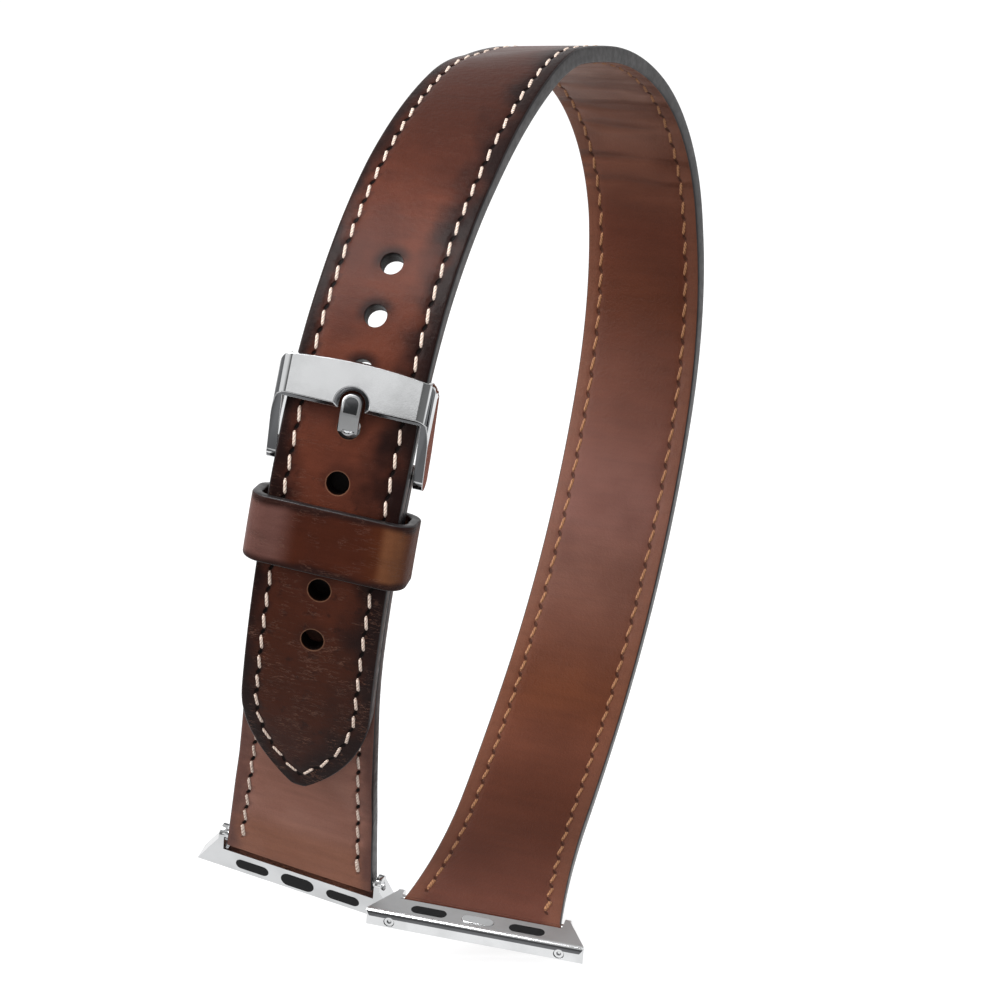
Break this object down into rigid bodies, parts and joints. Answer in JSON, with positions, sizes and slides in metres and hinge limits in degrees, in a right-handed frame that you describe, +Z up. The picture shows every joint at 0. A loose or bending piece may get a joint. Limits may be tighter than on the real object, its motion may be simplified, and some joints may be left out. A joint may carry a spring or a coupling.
{
  "type": "double wrap watch strap",
  "caption": "Long leather strap buckled to a short strap in a loop that goes twice round the wrist, with a keeper loop, a pin buckle and a hinged slide-in adapter at each end.",
  "frame": {"origin": "on the inner face of the long strap at the top of the loop, where a display peg carries it", "axes": "+X across the strap at the top of the loop, +Z up, the buckle on the -Y side"},
  "size_m": [0.0662, 0.1138, 0.1331],
  "materials": {
    "dark_leather": "glossy burnished brown leather, darker towards the edges",
    "lining_leather": "soft tan leather with a low sheen",
    "cream_thread": "waxed cream thread",
    "tan_thread": "waxed tan thread",
    "polished_steel": "mirror polished steel",
    "satin_metal": "fine satin steel with a polished edge",
    "black_pad": "matte black",
    "spring_wire": "plain spring wire"
  },
  "bodies": {
    "straps": {"long_strap_leather": "dark_leather", "long_strap_lining": "lining_leather", "long_strap_top_thread": "cream_thread", "long_strap_lining_thread": "tan_thread", "short_strap_leather": "dark_leather", "short_strap_lining": "lining_leather", "short_strap_top_thread": "cream_thread", "short_strap_lining_thread": "tan_thread", "spring_bar_tube": "polished_steel", "spring_bar_spring": "spring_wire"},
    "keeper": {"keeper_loop": "dark_leather", "keeper_seam_thread": "cream_thread"},
    "frame": {"buckle_frame": "polished_steel"},
    "tongue": {"buckle_tongue": "polished_steel"},
    "left_tip": {"spring_bar_left_tip": "polished_steel"},
    "right_tip": {"spring_bar_right_tip": "polished_steel"},
    "long_adapter": {"long_adapter_rail": "satin_metal", "long_adapter_hinge_bar": "polished_steel", "long_adapter_screws": "polished_steel", "long_adapter_wrist_pads": "black_pad", "long_adapter_outer_pads": "black_pad", "long_adapter_latch_spring": "spring_wire"},
    "short_adapter": {"short_adapter_rail": "satin_metal", "short_adapter_hinge_bar": "polished_steel", "short_adapter_screws": "polished_steel", "short_adapter_wrist_pads": "black_pad", "short_adapter_outer_pads": "black_pad", "short_adapter_latch_spring": "spring_wire"},
    "long_latch": {"long_adapter_latch": "polished_steel"},
    "short_latch": {"short_adapter_latch": "polished_steel"}
  },
  "joints": [
    {"name": "buckle_frame_lift", "type": "hinge", "parent": "straps", "child": "frame", "pos_m": [-0.0092, -0.05466, -0.04986], "axis": [0.9275, 0.2331, -0.2922], "range_deg": [0, 20]},
    {"name": "tongue_lift", "type": "hinge", "parent": "straps", "child": "tongue", "pos_m": [-0.0092, -0.05466, -0.04986], "axis": [0.9275, 0.2331, -0.2922], "range_deg": [0, 7]},
    {"name": "keeper_travel", "type": "hinge", "parent": "straps", "child": "keeper", "pos_m": [-0.0293, 0.01817, -0.05557], "axis": [0.9275, 0.2331, -0.2922], "range_deg": [-2.5, 14.5]},
    {"name": "left_tip_push", "type": "slide", "parent": "straps", "child": "left_tip", "axis": [0.9275, 0.2331, -0.2922], "range_m": [0, 0.0011], "stiffness_N_per_m": 200, "springref_m": -0.001},
    {"name": "right_tip_push", "type": "slide", "parent": "straps", "child": "right_tip", "axis": [-0.9275, -0.2331, 0.2922], "range_m": [0, 0.0011], "stiffness_N_per_m": 200, "springref_m": -0.001},
    {"name": "long_adapter_hinge", "type": "hinge", "parent": "straps", "child": "long_adapter", "pos_m": [-0.00284, -0.03958, -0.12343], "axis": [0.9495, 0.2133, -0.2302], "range_deg": [-70, 70]},
    {"name": "short_adapter_hinge", "type": "hinge", "parent": "straps", "child": "short_adapter", "pos_m": [-0.03396, -0.03762, -0.11586], "axis": [-0.9317, -0.1299, 0.3391], "range_deg": [-70, 70]},
    {"name": "long_latch_push", "type": "slide", "parent": "long_adapter", "child": "long_latch", "axis": [-0.2755, 0.2148, -0.937], "range_m": [0, 0.0007], "stiffness_N_per_m": 300, "springref_m": -0.0008},
    {"name": "short_latch_push", "type": "slide", "parent": "short_adapter", "child": "short_latch", "axis": [-0.026, -0.9075, -0.4192], "range_m": [0, 0.0007], "stiffness_N_per_m": 300, "springref_m": -0.0008}
  ]
}
